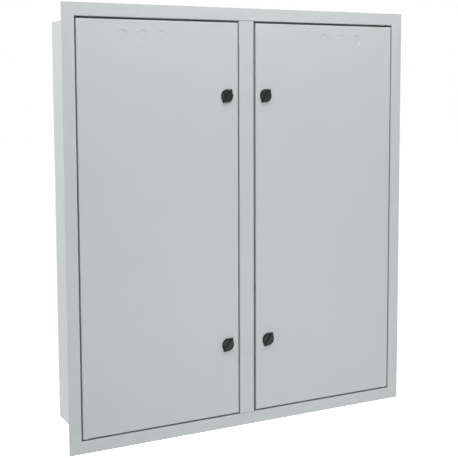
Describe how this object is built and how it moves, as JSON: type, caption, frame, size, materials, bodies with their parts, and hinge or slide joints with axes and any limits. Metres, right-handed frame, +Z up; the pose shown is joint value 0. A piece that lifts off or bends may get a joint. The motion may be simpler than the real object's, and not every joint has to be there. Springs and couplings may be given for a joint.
{
  "type": "flush-mount distribution board",
  "caption": "Flush-mounted sheet-steel distribution board: flanged front frame over a recessed box, lockable hinged doors, device rails behind slotted covers.",
  "frame": {"origin": "middle of the four wall fixings, on the rear face of the back wall", "axes": "+Z up, -Y out of the wall towards the user, +X to the user's right"},
  "size_m": [0.92, 0.1935, 1.03],
  "materials": {
    "casing_paint": "light grey powder coat, fine orange peel",
    "cover_paint": "pale grey powder coat",
    "zinc_plate": "galvanised",
    "black_plastic": "moulded polyamide, fine grain",
    "nylon": "natural nylon",
    "brass_bright": "drawn bar",
    "insulator": "moulded, matt"
  },
  "bodies": {
    "cabinet": {"wall_box": "casing_paint", "front_frame": "casing_paint", "centre_post": "casing_paint", "casing_screws": "zinc_plate", "top_entry_plate": "casing_paint", "bottom_entry_plate": "casing_paint", "earth_stud": "brass_bright", "chassis_spacers": "zinc_plate", "chassis_screws": "zinc_plate", "cover_screws": "zinc_plate", "bar_holders": "insulator", "left_outer_upright": "zinc_plate", "left_inner_upright": "zinc_plate", "left_din_rail_1": "zinc_plate", "left_din_rail_2": "zinc_plate", "left_din_rail_3": "zinc_plate", "left_din_rail_4": "zinc_plate", "left_din_rail_5": "zinc_plate", "left_cover_1": "cover_paint", "left_cover_2": "cover_paint", "left_cover_3": "cover_paint", "left_neutral_bar": "brass_bright", "left_earth_bar": "brass_bright", "upper_left_hinge_pin": "zinc_plate", "lower_left_hinge_pin": "zinc_plate", "right_outer_upright": "zinc_plate", "right_inner_upright": "zinc_plate", "right_din_rail_1": "zinc_plate", "right_din_rail_2": "zinc_plate", "right_din_rail_3": "zinc_plate", "right_din_rail_4": "zinc_plate", "right_din_rail_5": "zinc_plate", "right_cover_1": "cover_paint", "right_cover_2": "cover_paint", "right_cover_3": "cover_paint", "right_neutral_bar": "brass_bright", "right_earth_bar": "brass_bright", "upper_right_hinge_pin": "zinc_plate", "lower_right_hinge_pin": "zinc_plate"},
    "left_door": {"left_door": "casing_paint", "left_hinge_bushes": "nylon", "left_lock_housings": "black_plastic", "left_lock_nuts": "zinc_plate"},
    "upper_left_lock": {"upper_left_knob": "black_plastic", "upper_left_cam": "zinc_plate", "upper_left_cam_screw": "zinc_plate"},
    "lower_left_lock": {"lower_left_knob": "black_plastic", "lower_left_cam": "zinc_plate", "lower_left_cam_screw": "zinc_plate"},
    "right_door": {"right_door": "casing_paint", "right_hinge_bushes": "nylon", "right_lock_housings": "black_plastic", "right_lock_nuts": "zinc_plate"},
    "upper_right_lock": {"upper_right_knob": "black_plastic", "upper_right_cam": "zinc_plate", "upper_right_cam_screw": "zinc_plate"},
    "lower_right_lock": {"lower_right_knob": "black_plastic", "lower_right_cam": "zinc_plate", "lower_right_cam_screw": "zinc_plate"}
  },
  "joints": [
    {"name": "left_door_hinge", "type": "hinge", "parent": "cabinet", "child": "left_door", "pos_m": [-0.417, -0.176, 0], "axis": [0, 0, -1], "range_deg": [0, 110]},
    {"name": "upper_left_lock_turn", "type": "hinge", "parent": "left_door", "child": "upper_left_lock", "pos_m": [-0.053, -0.184, 0.305], "axis": [0, -1, 0], "range_deg": [0, 90]},
    {"name": "lower_left_lock_turn", "type": "hinge", "parent": "left_door", "child": "lower_left_lock", "pos_m": [-0.053, -0.184, -0.305], "axis": [0, -1, 0], "range_deg": [0, 90]},
    {"name": "right_door_hinge", "type": "hinge", "parent": "cabinet", "child": "right_door", "pos_m": [0.417, -0.176, 0], "axis": [0, 0, 1], "range_deg": [0, 110]},
    {"name": "upper_right_lock_turn", "type": "hinge", "parent": "right_door", "child": "upper_right_lock", "pos_m": [0.053, -0.184, 0.305], "axis": [0, 1, 0], "range_deg": [0, 90]},
    {"name": "lower_right_lock_turn", "type": "hinge", "parent": "right_door", "child": "lower_right_lock", "pos_m": [0.06, -0.184, -0.305], "axis": [0, 1, 0], "range_deg": [0, 90]}
  ]
}
